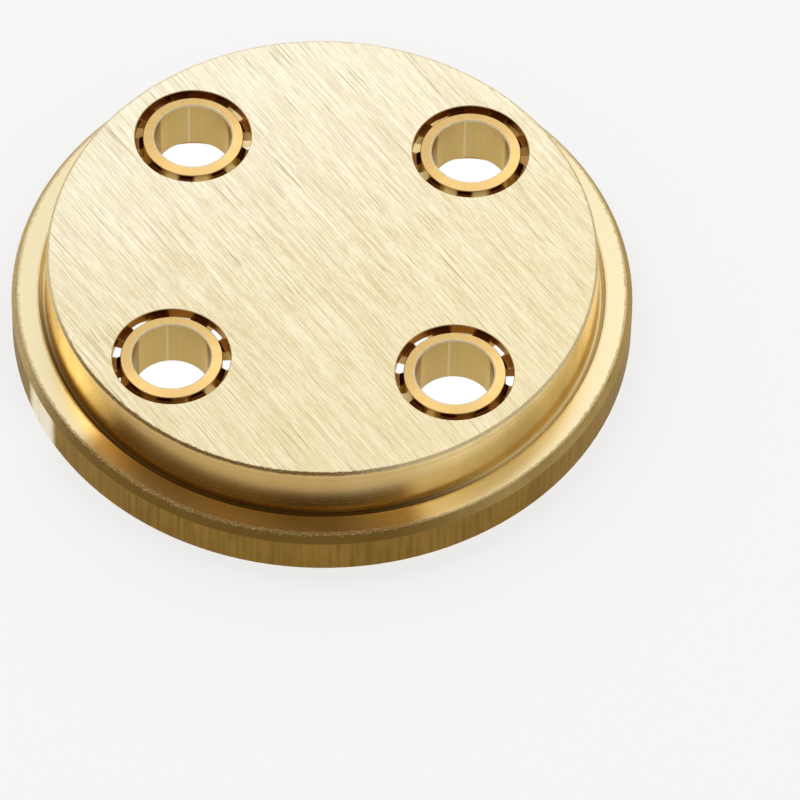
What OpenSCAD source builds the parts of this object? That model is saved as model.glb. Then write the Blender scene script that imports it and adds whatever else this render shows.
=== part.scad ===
// Pasta extrusion die for tubes.
// A turned brass plate with a raised face and a clamping flange carries four exit holes.
// Each hole holds a hollow core that is centred by a toothed crown, so that the dough
// flows between the teeth and leaves through the ring slot round the core.
// The die stands on its back face at z = 0, with the exit face up. Sizes are in millimetres.

/* [Plate] */
// Outer diameter of the clamping flange
flange_d = 56.6; // [55:0.2:64]
// Thickness of the clamping flange
flange_t = 4.65; // [3.5:0.05:5]
// Diameter of the raised exit face
boss_d = 50; // [49.5:0.5:52]
// Height from the back face to the exit face
total_h = 9.9; // [9:0.1:12]
// How much the wall of the raised part widens on radius towards its foot
boss_spread = 0.3; // [0:0.05:0.5]

/* [Plate edges] */
// Broken edge round the exit face
face_bevel = 0.2; // [0.1:0.05:0.5]
// Width of the bevel on the flange's front edge
rim_bevel_w = 0.5; // [0.3:0.05:0.7]
// Height of the bevel on the flange's front edge
rim_bevel_h = 0.8; // [0.2:0.05:1.2]
// Broken edge round the back face
back_bevel = 0.3; // [0.1:0.05:0.8]
// Depth of the relief groove at the foot of the raised part
groove_depth = 0.25; // [0.1:0.05:0.6]
// Width of the groove's floor
groove_w = 0.15; // [0.1:0.05:0.4]
// Width of the groove's sloping outer lip
groove_lip_w = 0.4; // [0.2:0.05:0.8]

/* [Exit holes] */
// Diameter of the circle through the hole centres
hole_pcd = 36; // [34:0.1:36.4]
// Diameter of each exit hole, the outside of the pasta tube
hole_d = 10.7; // [10.2:0.1:11.4]
// Length of the exit hole's straight land, down to the crown's seat
land_len = 1; // [0.8:0.1:2]
// Broken edge round each exit hole
hole_bevel = 0.06; // [0.05:0.01:0.15]
// Diameter of the seat that the crown sits in, bored from the back
seat_d = 12.6; // [12:0.1:13]
// Broken edge round each seat's mouth at the back face
seat_bevel = 1; // [0.1:0.05:1.2]

/* [Back recess] */
// Diameter of the feed recess in the back
recess_d = 42; // [38:0.5:44]
// Thickness of the web that is left between the recess and the exit face
web_t = 2.4; // [2.2:0.1:4]
// Broken edge round the mouth of the recess
recess_bevel = 0.4; // [0.1:0.05:0.8]

/* [Core insert] */
// Outer diameter of the core, the inside of the pasta tube
core_d = 9.2; // [8.6:0.1:9.8]
// Diameter of the bore through the core
bore_d = 7.1; // [6.5:0.1:7.6]
// Length of the core from the exit face
core_len = 5.4; // [4:0.1:6.5]
// How far the core's end face falls from its bore to its rim
end_drop = 0.15; // [0.05:0.05:0.3]
// Broken edge round the core's outside
core_bevel = 0.06; // [0.05:0.01:0.3]
// Broken edge at both ends of the core's bore
bore_bevel = 0.12; // [0.05:0.01:0.3]

/* [Toothed crown] */
// Number of teeth round the core
tooth_count = 9; // [6:1:12]
// Width of the feed gap between two teeth
tooth_gap = 1.9; // [1:0.05:2]
// Thickness of the crown along the core
crown_t = 1.1; // [0.8:0.1:1.4]
// Size of the sloping root where each tooth meets the core
crown_root = 0.35; // [0.1:0.05:0.5]
// Turn of the crown about the core's axis, in degrees
crown_turn = -14; // [-30:1:30]
// Radial play of the crown in its seat
seat_play = 0.02; // [0.01:0.01:0.05]

/* [Hidden] */

// Side counts of the large turned forms and of the small ones
$fn = 180;
small_fn = 96;
// How far a cutter runs past the face that it opens
over = 1;

plate_brass = [0.90, 0.80, 0.56];
insert_brass = [0.87, 0.71, 0.40];

flange_r = flange_d / 2;
boss_r = boss_d / 2;
foot_r = boss_r + boss_spread;
groove_r = foot_r + groove_w;
seat_z = total_h - land_len;
core_r = core_d / 2;
bore_r = bore_d / 2;
core_wall = core_r - bore_r;
crown_r = seat_d / 2 - seat_play;
crown_z = seat_z - crown_t;

// Angles of the exit holes round the plate's axis
rear_left_angle = 135;
rear_right_angle = 45;
front_left_angle = 225;
front_right_angle = 315;
hole_angles = [rear_left_angle, rear_right_angle, front_left_angle, front_right_angle];

// Puts its children on the axis of the hole at the given angle, with the same turn in every hole
module at_hole(angle) {
    translate([hole_pcd / 2 * cos(angle), hole_pcd / 2 * sin(angle), 0])
        children();
}

// Turned outline of the plate: flange, bevelled rim, relief groove and raised part
module plate_blank() {
    rotate_extrude()
        polygon([
            [0, 0],
            [flange_r - back_bevel, 0],
            [flange_r, back_bevel],
            [flange_r, flange_t - rim_bevel_h],
            [flange_r - rim_bevel_w, flange_t],
            [groove_r + groove_lip_w, flange_t],
            [groove_r, flange_t - groove_depth],
            [foot_r, flange_t - groove_depth],
            [boss_r, total_h - face_bevel],
            [boss_r - face_bevel, total_h],
            [0, total_h],
        ]);
}

// Space of one stepped exit hole: seat bored from the back, straight land, broken edge
module exit_hole() {
    translate([0, 0, -over])
        cylinder(d = seat_d, h = seat_z + over, $fn = small_fn);
    translate([0, 0, -seat_bevel])
        cylinder(d1 = seat_d + 4 * seat_bevel, d2 = seat_d, h = 2 * seat_bevel, $fn = small_fn);
    cylinder(d = hole_d, h = total_h + over, $fn = small_fn);
    translate([0, 0, total_h - hole_bevel])
        cylinder(d1 = hole_d, d2 = hole_d + 4 * hole_bevel, h = 2 * hole_bevel, $fn = small_fn);
}

// Space of the feed recess, with its broken edge at the back face
module feed_recess() {
    translate([0, 0, -over])
        cylinder(d = recess_d, h = total_h - web_t + over);
    translate([0, 0, -recess_bevel])
        cylinder(d1 = recess_d + 4 * recess_bevel, d2 = recess_d, h = 2 * recess_bevel);
}

module die_plate() {
    color(plate_brass)
        difference() {
            plate_blank();
            feed_recess();
            for (angle = hole_angles)
                at_hole(angle) exit_hole();
        }
}

// Turned hollow core whose bore ends flush with the exit face
module core_sleeve() {
    core_end = total_h - core_len;
    rim_z = total_h - end_drop;
    rotate_extrude($fn = small_fn)
        polygon([
            [bore_r + bore_bevel, total_h],
            [core_r - core_bevel, rim_z],
            [core_r, rim_z - core_bevel],
            [core_r, core_end + core_bevel],
            [core_r - core_bevel, core_end],
            [bore_r + bore_bevel, core_end],
            [bore_r, core_end + bore_bevel],
            [bore_r, total_h - bore_bevel],
        ]);
}

// Ring of teeth that centres the core: a turned collar with gaps milled through it
module toothed_crown() {
    difference() {
        rotate_extrude($fn = small_fn)
            polygon([
                [core_r - core_wall / 2, crown_z],
                [crown_r, crown_z],
                [crown_r, seat_z],
                [core_r + crown_root, seat_z],
                [core_r - core_wall / 2, seat_z + crown_root + core_wall / 2],
            ]);
        for (i = [0 : tooth_count - 1])
            rotate(crown_turn + (i + 0.5) * 360 / tooth_count)
                translate([bore_r, -tooth_gap / 2, crown_z - over])
                    cube([crown_r - bore_r + over, tooth_gap, total_h]);
    }
}

module core_insert() {
    color(insert_brass)
        union() {
            core_sleeve();
            toothed_crown();
        }
}

module insert_rear_left() {
    at_hole(rear_left_angle) core_insert();
}

module insert_rear_right() {
    at_hole(rear_right_angle) core_insert();
}

module insert_front_left() {
    at_hole(front_left_angle) core_insert();
}

module insert_front_right() {
    at_hole(front_right_angle) core_insert();
}

die_plate();
insert_rear_left();
insert_rear_right();
insert_front_left();
insert_front_right();
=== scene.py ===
"""Looks of the brass pasta die: brushed exit face, turned rim, toothed core inserts."""
import math
from types import SimpleNamespace

import bpy
from mathutils import Matrix, Vector


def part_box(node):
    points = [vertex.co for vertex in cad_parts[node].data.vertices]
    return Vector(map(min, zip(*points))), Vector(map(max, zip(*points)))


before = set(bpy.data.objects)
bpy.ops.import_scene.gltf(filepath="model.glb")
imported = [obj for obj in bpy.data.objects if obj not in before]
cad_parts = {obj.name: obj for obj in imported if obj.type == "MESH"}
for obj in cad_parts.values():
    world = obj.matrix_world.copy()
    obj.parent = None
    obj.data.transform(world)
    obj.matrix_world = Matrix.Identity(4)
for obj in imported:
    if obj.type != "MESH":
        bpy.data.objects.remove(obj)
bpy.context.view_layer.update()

# Sizes of the die in millimetres, as on the solids
MM = 0.001
FACE_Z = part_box("die_plate")[1].z / MM
FLANGE_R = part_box("die_plate")[1].x / MM
BOSS_R = 25.0
FLANGE_T = 4.65
RIM_BEVEL_W = 0.5
RIM_BEVEL_H = 0.8
GROOVE_OUT_R = 25.85
SEAT_R = 6.3
CORE_R = 4.6
BORE_R = 3.55
TOOTH_COUNT = 9
FIRST_GAP = math.radians(6)
INSERT_NODES = ["insert_rear_left", "insert_rear_right", "insert_front_left", "insert_front_right"]
insert_low, insert_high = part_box("insert_rear_right")
HOLE_X = (insert_low.x + insert_high.x) / 2 / MM
HOLE_Y = (insert_low.y + insert_high.y) / 2 / MM

# Camera that looks down on the exit face, found from the face's and the flange's outlines
PHOTO_PX = 800
SENSOR_MM = 36
CAMERA_DISTANCE = 0.75
CAMERA_CLIP = 0.01
CAMERA_ELEVATION = math.radians(52.92)
CAMERA_TURN = math.radians(2.5)
CAMERA_ROLL = math.radians(1.24)
PX_PER_FACE_RADIUS = 276.0
FACE_CENTRE_PX = (322.5, 252.7)

# Studio walls are pale up to one height and fade to a dim ceiling; both are sines of the elevation
STUDIO_WHITE = (1.0, 0.98, 0.95, 1)
STUDIO_WALL_TOP = math.sin(math.radians(26))
STUDIO_CEILING_LOW = math.sin(math.radians(40))
STUDIO_WALL_LIGHT = 0.55
STUDIO_CEILING_LIGHT = 0.13

# Soft boxes: azimuth and elevation in degrees, distance, width and height in metres, brightness
SOFT_BOXES = {
    "back_softbox": (112, 52, 1.0, 1.7, 0.9, 0.85),
    "left_softbox": (154, 52, 0.95, 0.3, 0.45, 1.3),
    "corner_softbox": (226, 52, 1.0, 0.8, 0.5, 0.22),
    "side_softbox": (355, 52, 1.0, 0.5, 0.5, 0.45),
    "right_softbox": (48, 50, 1.0, 0.75, 0.6, 0.66),
    "front_softbox": (318, 52, 1.0, 0.4, 0.5, 0.6),
    "top_softbox": (270, 88, 1.1, 1.05, 1.05, 0.68),
}

# Stage sheets in metres: half width, front end, rear end, height
FLOOR = (1.5, -1.5, 1.5, -0.05 * MM)
FRONT_PAPER = (19 * MM, -9.3 * MM, -1.5 * MM, -0.02 * MM)
REAR_PAPER = (18.5 * MM, 16.1 * MM, 21 * MM, -0.02 * MM)
SHEET_WHITE = (0.93, 0.93, 0.93, 1)
FULL_WHITE = (1, 1, 1, 1)
# Share of full white that a sheet shows to the eye and in mirrors
FLOOR_GLOW = 0.72
PAPER_GLOW = 1.0

# Colours of the brass, linear
FACE_CREAM = (0.98, 0.92, 0.71, 1)
FACE_TAN = (0.71, 0.585, 0.33, 1)
FACE_SHEEN_PALE = (1.0, 0.97, 0.85, 1)
SCRATCH_OLIVE = (0.42, 0.34, 0.16, 1)
FLAT_PALE = (0.88, 0.775, 0.51, 1)
GRAZING_BRASS = (0.92, 0.84, 0.66, 1)
# Painted highlight: the white of one bright spot on the rim
HIGHLIGHT_WHITE = (1.0, 0.96, 0.86, 1)
WALL_GOLD = (0.91, 0.70, 0.33, 1)
WALL_BROWN = (0.50, 0.31, 0.10, 1)
# The olive and brown rim colours below are painted shade on the rim; the brown also paints shade on the
# flange front, wall foot, groove, bevel front and face edge, and the olive gives the bevel its patches
RIM_OLIVE = (0.30, 0.175, 0.035, 1)
BEVEL_TAN = (0.46, 0.32, 0.115, 1)
SHADE_BROWN = (0.19, 0.10, 0.015, 1)
CORE_GOLD = (0.74, 0.505, 0.20, 1)
CORE_DEEP = (0.69, 0.445, 0.155, 1)
BORE_BRASS = (0.66, 0.47, 0.17, 1)
# Painted shade: the brown and dark of the holes, slots and bore sides
SLOT_BROWN = (0.39, 0.195, 0.055, 1)
SLOT_DARK = (0.21, 0.095, 0.026, 1)

# Roughness of the finishes, and what brush lines and turning rings add to it
FACE_ROUGH = 0.24
WALL_ROUGH = 0.16
RIM_ROUGH = 0.42
HIGHLIGHT_ROUGH = 0.1
GROOVE_ROUGH = 0.6
WORN_ROUGH = 0.7
INSERT_ROUGH = 0.2
BORE_ROUGH = 0.32
WORN_BORE_ROUGH = 0.85
BRUSH_ROUGH = 0.2
RING_ROUGH = 0.16

# Direction of the brushing about the vertical axis, and the shares of its coarser marks
BRUSH_TURN = math.radians(-51)
BRUSH_LINE_SHARE = 0.35
BRUSH_STROKE_SHARE = 0.3

# Pitch of the turning rings in millimetres
PLATE_PITCH = 0.16
INSERT_PITCH = 0.1
# Streaks and patches on a round wall for each radian, and how they change with each millimetre of height
STREAKS = 60
PATCHES = 5
MARK_RISE = 0.1

# Ragged bands along round edges, for wear and for painted shade and highlights: how far they reach in
# millimetres, how ragged they are, and their grains
FACE_EDGE_REACH = 0.36
BEVEL_EDGE_REACH = 0.45
LIP_EDGE_REACH = 0.3
BORE_EDGE_REACH = 0.2
RAGGED_SCALE = 2.2
RAGGED_DEPTH = 1.2
GRAIN_SCALE = 4.5

# Shares of pale or dark brass in worn edges, specks, the groove and the lip, all round and more at the
# front, where the extra is painted shade
BEVEL_WEAR_SHARE = 0.6
GROOVE_SHARE = 0.9
SPECK_SHARE = 0.2
LIP_TINT = 0.3
LIP_SHADE_FRONT = 0.6
EDGE_DARK = 0.15
EDGE_SHADE_FRONT = 0.8
EDGE_GRAIN = 0.3

# Heights of the marks in the relief, as shares of its depth
RING_RELIEF = 0.35
STREAK_RELIEF = 0.5
BRUSH_RELIEF = 0.8
SCRATCH_RELIEF = 0.5
WORN_RELIEF = 0.3
INSERT_RING_RELIEF = 0.3
INSERT_GRAIN_RELIEF = 0.1

# Sides of the plate and of a bore where painted shade and painted highlights lie, as azimuth and half width
# in degrees; the front is at 270
WALL_FRONT = (246, 36)
WALL_TOP_FRONT = (262, 42)
FLANGE_FRONT = (258, 40)
GROOVE_FRONT = (246, 70)
FACE_EDGE_FRONT = (246, 50)
BEVEL_FRONT = (254, 56)
BEVEL_LEFT = (194, 46)
RIM_HIGHLIGHT_SPOT = (210, 6)
BORE_HIGHLIGHT_LINE = (101, 2.2)
# Direction in which the exit face grows paler, a painted reflection of the soft boxes on that side
REAR_LEFT = (-0.5, 0.87, 0)

# Heights above the flange, where painted shade darkens the front of the wall towards its foot and its top
FOOT_SHADE_H = 3.2
TOP_SHADE_LOW = 2.0
TOP_SHADE_HIGH = 3.6


class Shader:
    """Small helper that adds and joins the nodes of one node tree."""

    def __init__(self, tree):
        self.tree = tree

    def node(self, kind, links=None, **settings):
        made = self.tree.nodes.new(kind)
        for name, value in settings.items():
            setattr(made, name, value)
        for name, value in (links or {}).items():
            self.feed(made.inputs[name], value)
        return made

    def feed(self, socket, value):
        """Joins a socket to an output, or sets it to a plain value."""
        if isinstance(value, bpy.types.NodeSocket):
            self.tree.links.new(value, socket)
        else:
            socket.default_value = value

    def math(self, operation, *values, clamp=False):
        made = self.node("ShaderNodeMath", operation=operation, use_clamp=clamp)
        for socket, value in zip(made.inputs, values):
            self.feed(socket, value)
        return made.outputs[0]

    def plus(self, first, second):
        return self.math("ADD", first, second)

    def minus(self, first, second):
        return self.math("SUBTRACT", first, second)

    def times(self, first, second):
        return self.math("MULTIPLY", first, second)

    def vector(self, operation, *values, out="Vector"):
        made = self.node("ShaderNodeVectorMath", operation=operation)
        for socket, value in zip(made.inputs, values):
            self.feed(socket, value)
        return made.outputs[out]

    def noise(self, vector, detail, roughness, scale=1.0):
        links = {"Vector": vector, "Scale": scale, "Detail": detail, "Roughness": roughness}
        return self.node("ShaderNodeTexNoise", links).outputs["Fac"]

    def stretched_noise(self, vector, stretch, detail, roughness):
        return self.noise(self.vector("MULTIPLY", vector, stretch), detail, roughness)

    def ramp(self, value, low, high, to_low=0.0, to_high=1.0):
        """Smooth step from to_low, where the value is low, to to_high, where it is high."""
        links = {"Value": value, "From Min": low, "From Max": high, "To Min": to_low, "To Max": to_high}
        made = self.node("ShaderNodeMapRange", links, interpolation_type="SMOOTHSTEP")
        return made.outputs["Result"]

    def fall(self, value, low, high):
        """Mask that is one up to low and fades to zero at high."""
        return self.ramp(value, low, high, to_low=1.0, to_high=0.0)

    def between(self, value, low, high, soft):
        """Mask that is one from low to high and fades over the soft width outside."""
        return self.times(self.ramp(value, low - soft, low), self.fall(value, high, high + soft))

    def mix_node(self, data_type, socket_type, factor, first, second):
        made = self.node("ShaderNodeMix", {"Factor": factor}, data_type=data_type)
        ends = [end for end in made.inputs if end.type == socket_type and end.name in ("A", "B")]
        self.feed(ends[0], first)
        self.feed(ends[1], second)
        return next(end for end in made.outputs if end.type == socket_type)

    def mix(self, factor, first, second):
        """Colour that goes from the first to the second as the factor goes from zero to one."""
        return self.mix_node("RGBA", "RGBA", factor, first, second)

    def blend(self, factor, first, second):
        """Value that goes from the first to the second as the factor goes from zero to one."""
        return self.mix_node("FLOAT", "VALUE", factor, first, second)

    def tint(self, tone, colour, mask, share):
        """Tone that goes a share of the way to a colour where the mask is one."""
        return self.mix(self.times(mask, share), tone, colour)

    def group(self, tree, **links):
        made = self.node("ShaderNodeGroup", node_tree=tree)
        for name, value in links.items():
            self.feed(made.inputs[name.replace("_", " ").capitalize()], value)
        return made.outputs


def new_group(name, inputs, outputs):
    """Makes a shader node group with the given sockets."""
    tree = bpy.data.node_groups.new(name, "ShaderNodeTree")
    kinds = {"vector": "NodeSocketVector", "value": "NodeSocketFloat"}
    for in_out, sockets in (("INPUT", inputs), ("OUTPUT", outputs)):
        for label, kind in sockets:
            tree.interface.new_socket(label, in_out=in_out, socket_type=kinds[kind])
    shader = Shader(tree)
    return shader, shader.node("NodeGroupInput").outputs, shader.node("NodeGroupOutput").inputs


def turned_place_group():
    """Radius, height and round direction of a point on a turned piece, in millimetres."""
    s, inside, out = new_group(
        "Turned place",
        [("Place", "vector")],
        [("Radius", "value"), ("Height", "value"), ("Round", "vector")])
    flat = s.vector("MULTIPLY", inside["Place"], (1, 1, 0))
    s.feed(out["Radius"], s.vector("LENGTH", flat, out="Value"))
    s.feed(out["Height"], s.node("ShaderNodeSeparateXYZ", {"Vector": inside["Place"]}).outputs["Z"])
    s.feed(out["Round"], s.vector("NORMALIZE", flat))
    return s.tree


def brush_lines_group():
    """Straight brushing: hair-fine lines, longer bands and single dark scratches."""
    s, inside, out = new_group(
        "Brush lines",
        [("Place", "vector")],
        [("Fine", "value"), ("Band", "value"), ("Scratch", "value")])
    turned = s.node("ShaderNodeMapping", {"Vector": inside["Place"], "Rotation": (0, 0, -BRUSH_TURN)})
    along = turned.outputs["Vector"]
    # Each stretch gives the marks in a millimetre along the brushing, across it and upwards
    hair = s.stretched_noise(along, (0.22, 8.5, 0), detail=2.0, roughness=0.6)
    line = s.stretched_noise(along, (0.08, 4.5, 3.0), detail=1.0, roughness=0.5)
    stroke = s.stretched_noise(along, (1.1, 10.0, 6.0), detail=2.0, roughness=0.6)
    band = s.stretched_noise(along, (0.03, 0.5, 5.0), detail=2.0, roughness=0.5)
    scratch = s.stretched_noise(along, (0.16, 6.0, 9.0), detail=1.0, roughness=0.5)
    lines = s.blend(BRUSH_LINE_SHARE, hair, line)
    s.feed(out["Fine"], s.blend(BRUSH_STROKE_SHARE, lines, stroke))
    s.feed(out["Band"], band)
    s.feed(out["Scratch"], s.ramp(scratch, 0.64, 0.74))
    return s.tree


def turning_marks_group():
    """Fine rings left by the turning tool, and streaks and patches that run up a round wall."""
    s, inside, out = new_group(
        "Turning marks",
        [("Radius", "value"), ("Height", "value"), ("Round", "vector"), ("Pitch", "value")],
        [("Rings", "value"), ("Streaks", "value"), ("Patches", "value")])
    ring_place = s.node("ShaderNodeCombineXYZ", {
        "X": s.math("DIVIDE", inside["Radius"], inside["Pitch"]),
        "Y": s.math("DIVIDE", inside["Height"], inside["Pitch"])}).outputs["Vector"]
    s.feed(out["Rings"], s.noise(ring_place, detail=2.0, roughness=0.5))
    rise = s.times(inside["Height"], MARK_RISE)
    lift = s.node("ShaderNodeCombineXYZ", {"Z": rise}).outputs["Vector"]
    upright = s.vector("MULTIPLY", inside["Round"], (STREAKS, STREAKS, 0))
    s.feed(out["Streaks"], s.noise(s.vector("ADD", upright, lift), detail=4.0, roughness=0.65))
    broad = s.vector("MULTIPLY", inside["Round"], (PATCHES, PATCHES, 0))
    s.feed(out["Patches"], s.noise(s.vector("ADD", broad, lift), detail=3.0, roughness=0.6))
    return s.tree


def near_edge_group():
    """Ragged band close to a round edge, given by its radius and height, and grains on it; it marks wear
    and also painted shade and highlights.
    """
    s, inside, out = new_group(
        "Near edge",
        [("Place", "vector"), ("Radius", "value"), ("Height", "value"),
         ("Edge radius", "value"), ("Edge height", "value"), ("Reach", "value")],
        [("Ragged band", "value"), ("Grain", "value")])
    aside = s.minus(inside["Radius"], inside["Edge radius"])
    above = s.minus(inside["Height"], inside["Edge height"])
    away = s.math("SQRT", s.plus(s.times(aside, aside), s.times(above, above)))
    near = s.math("SUBTRACT", 1.0, s.math("DIVIDE", away, inside["Reach"]), clamp=True)
    ragged = s.noise(inside["Place"], detail=4.0, roughness=0.7, scale=RAGGED_SCALE)
    worn = s.plus(near, s.times(s.minus(ragged, 0.5), RAGGED_DEPTH))
    s.feed(out["Ragged band"], s.times(s.ramp(worn, 0.3, 0.7), s.math("SIGN", near)))
    grain = s.noise(inside["Place"], detail=2.0, roughness=0.6, scale=GRAIN_SCALE)
    s.feed(out["Grain"], s.ramp(grain, 0.5, 0.64))
    return s.tree


TURNED_PLACE = turned_place_group()
BRUSH_LINES = brush_lines_group()
TURNING_MARKS = turning_marks_group()
NEAR_EDGE = near_edge_group()


def new_material(name):
    """Metal material with its helper, its shader and the place in millimetres."""
    material = bpy.data.materials.new(name)
    material.use_nodes = True
    s = Shader(material.node_tree)
    metal = material.node_tree.nodes["Principled BSDF"]
    metal.inputs["Metallic"].default_value = 1.0
    metal.inputs["Specular Tint"].default_value = GRAZING_BRASS
    in_metres = s.node("ShaderNodeTexCoord").outputs["Object"]
    scaled = s.node("ShaderNodeVectorMath", {"Vector": in_metres, "Scale": 1 / MM}, operation="SCALE")
    return material, s, metal, scaled.outputs["Vector"]


def hole_place(s, place):
    """Place measured from the axis of the nearest exit hole."""
    axis = s.vector("MULTIPLY", s.vector("SIGN", place), (HOLE_X, HOLE_Y, 0))
    return s.vector("SUBTRACT", place, axis)


def toward(s, round_direction, side):
    """Mask of the points whose round direction lies on a side, full in its middle half."""
    azimuth = math.radians(side[0])
    half_width = math.radians(side[1])
    middle = (math.cos(azimuth), math.sin(azimuth), 0)
    along = s.vector("DOT_PRODUCT", round_direction, middle, out="Value")
    return s.ramp(along, math.cos(half_width), math.cos(half_width / 2))


def turning_marks(s, turned, pitch):
    """Turning marks of a turned piece."""
    return s.group(
        TURNING_MARKS, radius=turned["Radius"], height=turned["Height"], round=turned["Round"], pitch=pitch)


def edge_band(s, place, turned, edge_radius, edge_height, reach):
    """Ragged band and grains on one round edge of a turned piece, for wear or for painted light and shade.
    """
    return s.group(
        NEAR_EDGE, place=place, radius=turned["Radius"], height=turned["Height"],
        edge_radius=edge_radius, edge_height=edge_height, reach=reach)


def emboss(s, metal, relief, strength, depth):
    """Gives a metal its fine relief, with the depth in millimetres."""
    bump = s.node("ShaderNodeBump", {"Strength": strength, "Distance": depth * MM, "Height": relief})
    s.feed(metal.inputs["Normal"], bump.outputs["Normal"])


def plate_zones(s, place):
    """Masks of the plate's faces and edges, and the marks that lie on them."""
    turned = s.group(TURNED_PLACE, place=place)
    radius, height, side = turned["Radius"], turned["Height"], turned["Round"]
    plate = SimpleNamespace(place=place, radius=radius, height=height, side=side)
    plate.brush = s.group(BRUSH_LINES, place=place)
    plate.marks = turning_marks(s, turned, PLATE_PITCH)
    # Small offsets from the sizes keep each mask on its own face
    normal = s.node("ShaderNodeNewGeometry").outputs["Normal"]
    facing = s.node("ShaderNodeSeparateXYZ", {"Vector": normal}).outputs["Z"]
    plate.flat = s.ramp(s.math("ABSOLUTE", facing), 0.9, 0.98)
    plate.on_face = s.times(plate.flat, s.ramp(height, FACE_Z - 0.1, FACE_Z - 0.02))
    hole_radius = s.group(TURNED_PLACE, place=hole_place(s, place))["Radius"]
    below_face = s.fall(height, FACE_Z - 0.09, FACE_Z - 0.05)
    plate.in_hole = s.times(s.fall(hole_radius, SEAT_R + 0.02, SEAT_R + 0.1), below_face)
    plate.in_groove = s.times(
        s.between(radius, BOSS_R + 0.27, GROOVE_OUT_R - 0.1, 0.08),
        s.between(height, FLANGE_T - 0.4, FLANGE_T - 0.06, 0.04))
    plate.on_bevel = s.times(
        s.between(radius, FLANGE_R - RIM_BEVEL_W + 0.05, FLANGE_R, 0.06),
        s.between(height, FLANGE_T - RIM_BEVEL_H, FLANGE_T - 0.03, 0.06))
    plate.on_rim = s.ramp(radius, FLANGE_R - 0.06, FLANGE_R - 0.02)
    plate.outside = s.math("MAXIMUM", plate.on_bevel, plate.on_rim)
    # Painted highlight: one narrow upright spot on the rim at the left front, pale white and smoother
    polish = s.times(toward(s, side, RIM_HIGHLIGHT_SPOT), s.ramp(plate.marks["Streaks"], 0.2, 0.42))
    plate.rim_polish = s.times(plate.on_rim, polish)
    plate.face_edge = edge_band(s, place, turned, BOSS_R - 0.1, FACE_Z - 0.1, FACE_EDGE_REACH)
    plate.bevel_edge = edge_band(s, place, turned, FLANGE_R - RIM_BEVEL_W, FLANGE_T, BEVEL_EDGE_REACH)
    plate.lip_edge = edge_band(s, place, turned, GROOVE_OUT_R, FLANGE_T, LIP_EDGE_REACH)
    bevel_wear = s.times(plate.bevel_edge["Ragged band"], BEVEL_WEAR_SHARE)
    plate.worn = s.math("MAXIMUM", plate.face_edge["Ragged band"], bevel_wear)
    return plate


def face_tone(s, plate):
    """Brushed exit face with scratches, tan at the front right as painted shade and paler towards the rear
    left as painted reflection.
    """
    tone = s.mix(s.ramp(plate.brush["Fine"], 0.39, 0.61), FACE_TAN, FACE_CREAM)
    tone = s.mix(s.ramp(plate.brush["Band"], 0.35, 0.75, to_high=0.22), tone, FACE_TAN)
    # Painted shade and painted reflection: the face fades to tan at the front right and to pale at the rear
    # left
    to_rear_left = s.vector("DOT_PRODUCT", plate.place, REAR_LEFT, out="Value")
    shade_part = s.ramp(to_rear_left, -BOSS_R, BOSS_R * 0.6, to_low=0.45, to_high=0.0)
    tone = s.mix(shade_part, tone, FACE_TAN)
    sheen_part = s.ramp(to_rear_left, -BOSS_R * 0.2, BOSS_R, to_high=0.36)
    tone = s.mix(sheen_part, tone, FACE_SHEEN_PALE)
    return s.tint(tone, SCRATCH_OLIVE, plate.brush["Scratch"], share=0.75)


def flange_tone(s, plate):
    """Turned flats with faint rings, brown at the front of the flange as painted shade."""
    tone = s.mix(s.ramp(plate.marks["Rings"], 0.35, 0.75, to_high=0.35), FLAT_PALE, WALL_GOLD)
    # Painted shade: the front of the flange goes brown
    front = s.ramp(toward(s, plate.side, FLANGE_FRONT), 0.0, 0.5)
    front = s.times(front, s.ramp(plate.radius, BOSS_R, BOSS_R + 0.5))
    tone = s.tint(tone, WALL_BROWN, front, share=0.85)
    return s.tint(tone, SHADE_BROWN, front, share=0.4)


def wall_tone(s, plate):
    """Golden walls with brown patches and rings, and painted shade on the front: a deeper tone, a dark foot
    and a dark top.
    """
    tone = s.mix(s.ramp(plate.marks["Patches"], 0.4, 0.75, to_high=0.5), WALL_GOLD, WALL_BROWN)
    tone = s.mix(s.ramp(plate.marks["Rings"], 0.45, 0.8, to_high=0.3), tone, WALL_BROWN)
    # Painted shade: the front of the wall deepens, and more at its foot and top
    front = toward(s, plate.side, WALL_FRONT)
    tone = s.tint(tone, CORE_DEEP, front, share=0.5)
    foot = s.times(
        s.fall(plate.height, FLANGE_T, FLANGE_T + FOOT_SHADE_H),
        s.between(plate.radius, BOSS_R + 0.02, BOSS_R + 0.4, 0.02))
    tone = s.tint(tone, SHADE_BROWN, s.times(foot, front), share=0.35)
    top = s.times(
        s.ramp(plate.height, FLANGE_T + TOP_SHADE_LOW, FLANGE_T + TOP_SHADE_HIGH),
        toward(s, plate.side, WALL_TOP_FRONT))
    return s.tint(tone, WALL_BROWN, top, share=0.6)


def rim_tone(s, plate):
    """Dull rim painted dark olive and brown as painted shade, with streaks and patches, and one painted
    highlight spot.
    """
    tone = s.mix(s.ramp(plate.marks["Streaks"], 0.4, 0.7, to_high=0.8), RIM_OLIVE, SHADE_BROWN)
    tone = s.mix(s.ramp(plate.marks["Patches"], 0.4, 0.7, to_high=0.5), tone, SHADE_BROWN)
    return s.mix(plate.rim_polish, tone, HIGHLIGHT_WHITE)


def bevel_tone(s, plate):
    """Tan bevel of the rim with olive patches, pale specks only at the left as painted glints, and a brown
    front as painted shade.
    """
    tone = s.mix(s.ramp(plate.marks["Patches"], 0.35, 0.7, to_high=0.4), BEVEL_TAN, RIM_OLIVE)
    specks = s.plus(SPECK_SHARE, s.times(plate.bevel_edge["Grain"], SPECK_SHARE))
    # Painted glints: pale grains show on the left side of the bevel only
    tone = s.mix(s.times(specks, toward(s, plate.side, BEVEL_LEFT)), tone, FLAT_PALE)
    # Painted shade: the front of the bevel goes brown
    return s.tint(tone, SHADE_BROWN, toward(s, plate.side, BEVEL_FRONT), share=0.85)


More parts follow.
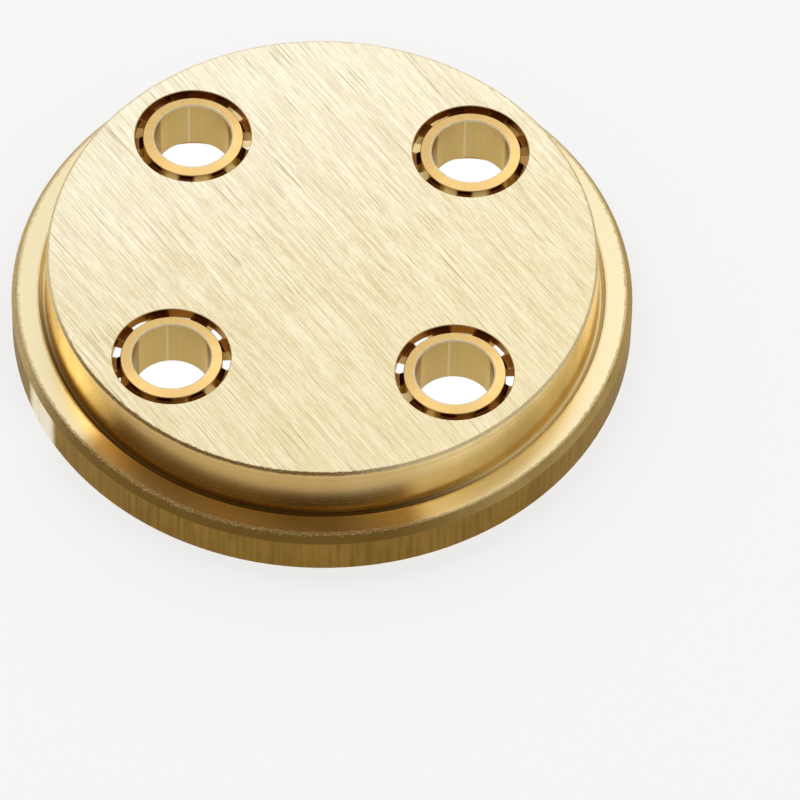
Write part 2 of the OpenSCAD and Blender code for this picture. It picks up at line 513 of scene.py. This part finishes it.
def plate_tone(s, plate):
    """Colour of the whole plate, with its groove, worn edges and holes."""
    # The flats take the pale tone and the walls the golden one, so the paler flats are painted sheen
    tone = s.mix(plate.flat, wall_tone(s, plate), flange_tone(s, plate))
    tone = s.mix(plate.on_rim, tone, rim_tone(s, plate))
    bevel = bevel_tone(s, plate)
    tone = s.mix(plate.on_bevel, tone, bevel)
    worn_bevel = s.tint(bevel, FLAT_PALE, plate.bevel_edge["Grain"], share=0.45)
    tone = s.tint(tone, worn_bevel, plate.bevel_edge["Ragged band"], share=BEVEL_WEAR_SHARE)
    # Painted shade in the groove: brown at the front, pale flange tone elsewhere
    groove_front = toward(s, plate.side, GROOVE_FRONT)
    groove = s.mix(groove_front, FLAT_PALE, SHADE_BROWN)
    tone = s.tint(tone, groove, plate.in_groove, share=GROOVE_SHARE)
    # The lip beside the groove darkens to brown all round, and more at the front as painted shade
    lip_share = s.plus(s.times(groove_front, LIP_SHADE_FRONT), LIP_TINT)
    tone = s.mix(s.times(plate.lip_edge["Ragged band"], lip_share), tone, WALL_BROWN)
    tone = s.mix(plate.on_face, tone, face_tone(s, plate))
    # Worn face edge: pale brass, slightly brown all round, and much darker at the front left as painted
    # shade
    edge_dark = s.plus(s.times(toward(s, plate.side, FACE_EDGE_FRONT), EDGE_SHADE_FRONT), EDGE_DARK)
    edge_dark = s.math("SUBTRACT", edge_dark, s.times(plate.face_edge["Grain"], EDGE_GRAIN), clamp=True)
    edge = s.mix(edge_dark, FLAT_PALE, SHADE_BROWN)
    tone = s.tint(tone, edge, plate.face_edge["Ragged band"], share=0.8)
    # Painted shade: the plate's walls inside the holes are dark brown
    return s.mix(plate.in_hole, tone, SLOT_BROWN)


def plate_rough(s, plate):
    """Roughness of the whole plate."""
    rough = s.plus(WALL_ROUGH, s.times(plate.marks["Rings"], RING_ROUGH))
    brushed = s.plus(FACE_ROUGH, s.times(plate.brush["Fine"], BRUSH_ROUGH))
    rough = s.blend(plate.on_face, rough, brushed)
    rough = s.blend(plate.outside, rough, RIM_ROUGH)
    rough = s.blend(plate.rim_polish, rough, HIGHLIGHT_ROUGH)
    rough = s.blend(s.times(plate.in_groove, GROOVE_SHARE), rough, GROOVE_ROUGH)
    return s.blend(plate.worn, rough, WORN_ROUGH)


def plate_relief(s, plate):
    """Height of the brush lines, turning rings, streaks and worn edges."""
    rings = s.times(plate.marks["Rings"], RING_RELIEF)
    streaks = s.times(plate.marks["Streaks"], STREAK_RELIEF)
    scratches = s.times(plate.brush["Scratch"], SCRATCH_RELIEF)
    brushed = s.minus(s.times(plate.brush["Fine"], BRUSH_RELIEF), scratches)
    relief = s.blend(plate.outside, rings, streaks)
    relief = s.blend(plate.on_face, relief, brushed)
    return s.minus(relief, s.times(plate.worn, s.plus(WORN_RELIEF, plate.face_edge["Grain"])))


def plate_material():
    """Brass plate: brushed exit face, turned walls, dull rim, dark holes, worn edges, with painted shade
    and highlights on its sides and in its holes.
    """
    material, s, metal, place = new_material("plate_brass")
    plate = plate_zones(s, place)
    s.feed(metal.inputs["Base Color"], plate_tone(s, plate))
    s.feed(metal.inputs["Roughness"], plate_rough(s, plate))
    emboss(s, metal, plate_relief(s, plate), strength=0.5, depth=0.015)
    return material


def bore_tone(s, marks, side):
    """Satin bore with upright streaks, one pale upright line as painted highlight, and left and right sides
    darkened by painted shade.
    """
    tone = s.mix(s.ramp(marks["Streaks"], 0.35, 0.75, to_high=0.4), BORE_BRASS, WALL_BROWN)
    tone = s.tint(tone, FLAT_PALE, toward(s, side, BORE_HIGHLIGHT_LINE), share=0.35)
    across = s.node("ShaderNodeSeparateXYZ", {"Vector": side}).outputs["X"]
    # Painted shade: the left and right sides of the bore go dark
    dark_sides = s.ramp(s.math("ABSOLUTE", across), 0.85, 0.9)
    return s.tint(tone, SLOT_DARK, dark_sides, share=0.7)


def slot_tone(s, side):
    """Slot wall and crown in painted light and shade: brass in line with each gap, where light comes
    through, and dark in line with each tooth.
    """
    around = s.node("ShaderNodeSeparateXYZ", {"Vector": side}).outputs
    turn = s.times(s.math("ARCTAN2", around["Y"], around["X"]), TOOTH_COUNT)
    by_gap = s.math("COSINE", s.minus(turn, TOOTH_COUNT * FIRST_GAP))
    return s.mix(s.ramp(by_gap, -0.6, 0.3), SLOT_DARK, BORE_BRASS)


def insert_material():
    """Brass of the inserts: golden turned end face, satin bore, a pale bore edge that is partly painted
    highlight, and a slot wall and crown in painted light and shade.
    """
    material, s, metal, place = new_material("insert_brass")
    turned = s.group(TURNED_PLACE, place=hole_place(s, place))
    radius, side = turned["Radius"], turned["Round"]
    marks = turning_marks(s, turned, INSERT_PITCH)
    edge = edge_band(s, place, turned, BORE_R + 0.06, FACE_Z - 0.06, BORE_EDGE_REACH)
    in_bore = s.fall(radius, BORE_R + 0.01, BORE_R + 0.05)
    in_slot = s.ramp(radius, CORE_R - 0.04, CORE_R - 0.01)
    tone = s.mix(s.ramp(marks["Patches"], 0.35, 0.75, to_high=0.6), CORE_GOLD, CORE_DEEP)
    tone = s.mix(in_bore, tone, bore_tone(s, marks, side))
    tone = s.mix(in_slot, tone, slot_tone(s, side))
    # The ragged band at the bore's edge is pale: partly worn brass, partly painted highlight on its chamfer
    s.feed(metal.inputs["Base Color"], s.tint(tone, FACE_CREAM, edge["Ragged band"], share=0.9))
    rough = s.plus(INSERT_ROUGH, s.times(marks["Rings"], RING_ROUGH))
    rough = s.blend(in_bore, rough, BORE_ROUGH)
    s.feed(metal.inputs["Roughness"], s.blend(edge["Ragged band"], rough, WORN_BORE_ROUGH))
    rings = s.times(marks["Rings"], INSERT_RING_RELIEF)
    relief = s.plus(rings, s.times(edge["Grain"], INSERT_GRAIN_RELIEF))
    emboss(s, metal, relief, strength=0.2, depth=0.012)
    return material


def dress(node_name, material):
    """Gives a solid its finish."""
    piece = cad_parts[node_name]
    piece.data.materials.clear()
    piece.data.materials.append(material)


def place_camera():
    """Long-lens camera at the photo's angle, aimed so that the face centre falls on its pixel."""
    cos_rise, sin_rise = math.cos(CAMERA_ELEVATION), math.sin(CAMERA_ELEVATION)
    cos_turn, sin_turn = math.cos(CAMERA_TURN), math.sin(CAMERA_TURN)
    cos_roll, sin_roll = math.cos(CAMERA_ROLL), math.sin(CAMERA_ROLL)
    back = Vector((sin_turn * cos_rise, -cos_turn * cos_rise, sin_rise))
    level_right = Vector((cos_turn, sin_turn, 0))
    level_up = back.cross(level_right)
    right = level_right * cos_roll + level_up * sin_roll
    up = level_up * cos_roll - level_right * sin_roll
    focal_px = PX_PER_FACE_RADIUS * CAMERA_DISTANCE / (BOSS_R * MM)
    aside = (FACE_CENTRE_PX[0] - PHOTO_PX / 2) / focal_px * CAMERA_DISTANCE
    above = (PHOTO_PX / 2 - FACE_CENTRE_PX[1]) / focal_px * CAMERA_DISTANCE
    place = Vector((0, 0, FACE_Z * MM)) + back * CAMERA_DISTANCE - right * aside - up * above
    data = bpy.data.cameras.new("photo_camera")
    data.sensor_width = SENSOR_MM
    data.lens = focal_px / PHOTO_PX * SENSOR_MM
    data.clip_start = CAMERA_CLIP
    camera = bpy.data.objects.new("photo_camera", data)
    camera.matrix_world = Matrix.Translation(place) @ Matrix((right, up, back)).transposed().to_4x4()
    bpy.context.scene.collection.objects.link(camera)
    bpy.context.scene.camera = camera


def soft_light(name, azimuth, elevation, distance, width, height, brightness):
    """Rectangular soft box that faces the die. Brightness 1 looks white in a mirror."""
    data = bpy.data.lights.new(name, "AREA")
    data.shape = "RECTANGLE"
    data.size = width
    data.size_y = height
    data.energy = brightness * math.pi * width * height
    light = bpy.data.objects.new(name, data)
    az, el = math.radians(azimuth), math.radians(elevation)
    away = Vector((math.cos(az) * math.cos(el), math.sin(az) * math.cos(el), math.sin(el)))
    light.location = away * distance
    light.rotation_euler = away.to_track_quat("Z", "Y").to_euler()
    bpy.context.scene.collection.objects.link(light)


def light_studio():
    """Soft boxes over the die, and pale studio walls that fade to a dim ceiling."""
    world = bpy.data.worlds.new("studio")
    bpy.context.scene.world = world
    world.use_nodes = True
    background = world.node_tree.nodes["Background"]
    background.inputs["Color"].default_value = STUDIO_WHITE
    s = Shader(world.node_tree)
    away = s.node("ShaderNodeTexCoord").outputs["Generated"]
    rise = s.node("ShaderNodeSeparateXYZ", {"Vector": away}).outputs["Z"]
    strength = s.ramp(
        rise, STUDIO_WALL_TOP, STUDIO_CEILING_LOW, to_low=STUDIO_WALL_LIGHT, to_high=STUDIO_CEILING_LIGHT)
    s.feed(background.inputs["Strength"], strength)
    for name, values in SOFT_BOXES.items():
        soft_light(name, *values)


def flat_sheet(name, extent, material):
    """Rectangular stage sheet that faces up."""
    x_half, y_low, y_high, height = extent
    corners = [
        (-x_half, y_low, height),
        (x_half, y_low, height),
        (x_half, y_high, height),
        (-x_half, y_high, height),
    ]
    mesh = bpy.data.meshes.new(name)
    mesh.from_pydata(corners, [], [(0, 1, 2, 3)])
    mesh.materials.append(material)
    sheet = bpy.data.objects.new(name, mesh)
    bpy.context.scene.collection.objects.link(sheet)


def white_material(name, glow):
    """Plain white that shows partly at full white to the eye and in mirrors, and still takes shadow."""
    material = bpy.data.materials.new(name)
    material.use_nodes = True
    s = Shader(material.node_tree)
    paper = material.node_tree.nodes["Principled BSDF"]
    paper.inputs["Base Color"].default_value = SHEET_WHITE
    paper.inputs["Roughness"].default_value = 0.9
    paper.inputs["Specular IOR Level"].default_value = 0.1
    path = s.node("ShaderNodeLightPath").outputs
    seen = s.plus(path["Is Camera Ray"], path["Is Glossy Ray"])
    seen = s.math("ADD", seen, path["Is Transmission Ray"], clamp=True)
    white = s.node("ShaderNodeEmission", {"Color": FULL_WHITE, "Strength": 1.0})
    both = s.node("ShaderNodeMixShader", {"Fac": s.times(seen, glow)})
    s.feed(both.inputs[1], paper.outputs["BSDF"])
    s.feed(both.inputs[2], white.outputs["Emission"])
    s.feed(material.node_tree.nodes["Material Output"].inputs["Surface"], both.outputs["Shader"])
    return material


bpy.context.scene.view_settings.view_transform = "Standard"
place_camera()
light_studio()
flat_sheet("floor", FLOOR, white_material("floor_white", FLOOR_GLOW))
# Lit paper under the die where the eye looks through the bores
paper_white = white_material("paper_white", PAPER_GLOW)
flat_sheet("front_paper", FRONT_PAPER, paper_white)
flat_sheet("rear_paper", REAR_PAPER, paper_white)

dress("die_plate", plate_material())
insert_brass = insert_material()
for name in INSERT_NODES:
    dress(name, insert_brass)
